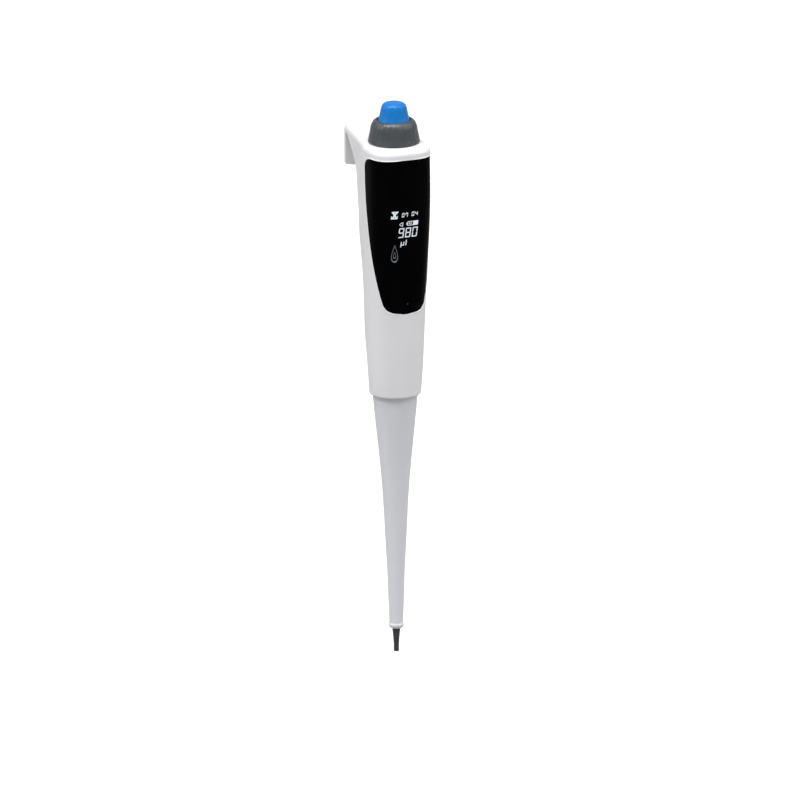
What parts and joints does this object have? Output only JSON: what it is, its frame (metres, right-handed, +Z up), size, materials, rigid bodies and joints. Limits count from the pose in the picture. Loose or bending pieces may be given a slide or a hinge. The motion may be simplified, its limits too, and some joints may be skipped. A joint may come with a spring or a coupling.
{
  "type": "electronic adjustable micropipette",
  "caption": "Slim hand-held electronic micropipette with a volume dial, push button, finger hook, wrap-round display and a sliding tip-ejector sleeve over its nozzle.",
  "frame": {"origin": "centre of the nozzle's open end, where the disposable tip is pushed on", "axes": "+Z up along the pipette's axis from nozzle to button, -Y towards the user past the display, +Y along the finger hook, +X to the right of a user who faces the display"},
  "size_m": [0.0316, 0.0621, 0.2797],
  "materials": {
    "housing": "smooth white moulded plastic, satin",
    "lens": "high gloss black",
    "display": "dark display glass",
    "board": "green solder resist",
    "flex": "amber polyimide",
    "chip": "black moulded",
    "steel": "plain steel",
    "copper": "enamelled copper",
    "brass": "turned brass",
    "cell": "sleeved cell",
    "inner": "moulded inner parts",
    "seal": "PTFE",
    "rubber": "black elastomer",
    "nozzle": "charcoal moulded",
    "sleeve": "light grey moulded, satin",
    "dial": "dark grey moulded, fine grain",
    "button": "blue moulded, satin"
  },
  "bodies": {
    "handle": {"main_housing": "housing", "display_lens": "lens", "battery_cover": "housing", "oled_module": "display", "display_ribbon": "flex", "main_board": "board", "processor_chip": "chip", "buzzer": "chip", "chassis_frame": "inner", "chassis_base": "inner", "chassis_head": "inner", "encoder_board": "board", "detent_spring": "steel", "button_sensor": "chip", "battery_cell": "cell", "contact_lower": "steel", "contact_upper": "steel", "charge_jack": "steel", "charge_board": "board", "motor_can": "steel", "motor_cap": "steel", "motor_coils": "copper", "bearing_lower": "steel", "bearing_upper": "steel", "shaft_body": "inner", "tip_cone": "nozzle", "piston_seal": "seal", "seal_oring": "rubber", "seal_gland": "inner", "backlash_spring": "steel", "ejector_spring": "steel", "board_screw_1": "steel", "board_screw_2": "steel", "board_screw_3": "steel", "board_screw_4": "steel", "head_screw_1": "steel", "head_screw_2": "steel", "base_screw_1": "steel", "base_screw_2": "steel", "cover_screw_1": "steel", "cover_screw_2": "steel"},
    "ejector": {"ejector_plunger": "inner", "ejector_rod": "steel", "ejector_collar": "inner", "ejector_sleeve": "sleeve", "rod_clip": "steel", "button_spring": "steel"},
    "button": {"button_cap": "button", "button_stem": "steel", "button_magnet": "steel", "stem_clip": "steel"},
    "dial": {"dial_knob": "dial", "encoder_ring": "inner", "dial_clip": "steel"},
    "rotor": {"rotor_nut": "brass", "rotor_magnet": "steel"},
    "piston": {"lead_screw": "steel", "piston_holder": "inner", "piston_rod": "steel"}
  },
  "joints": [
    {"name": "dial_turn", "type": "hinge", "parent": "handle", "child": "dial", "pos_m": [0, 0, 0.26], "axis": [0, 0, 1], "continuous": true},
    {"name": "tip_eject", "type": "slide", "parent": "handle", "child": "ejector", "axis": [0, 0, -1], "range_m": [0, 0.006], "stiffness_N_per_m": 1500, "springref_m": -0.002, "deforming": ["ejector_spring"]},
    {"name": "button_click", "type": "slide", "parent": "ejector", "child": "button", "axis": [0, 0, -1], "range_m": [0, 0.0015], "stiffness_N_per_m": 700, "springref_m": -0.001, "deforming": ["button_spring"]},
    {"name": "rotor_spin", "type": "hinge", "parent": "handle", "child": "rotor", "pos_m": [0, 0, 0.156], "axis": [0, 0, 1], "range_deg": [-3780.01, 900.01]},
    {"name": "piston_drive", "type": "slide", "parent": "handle", "child": "piston", "axis": [0, 0, 1], "range_m": [-0.0025, 0.0105], "deforming": ["backlash_spring"]}
  ],
  "couplings": [
    {"joint": "rotor_spin", "follows": "piston_drive", "rad_per_m": -6283.2}
  ]
}
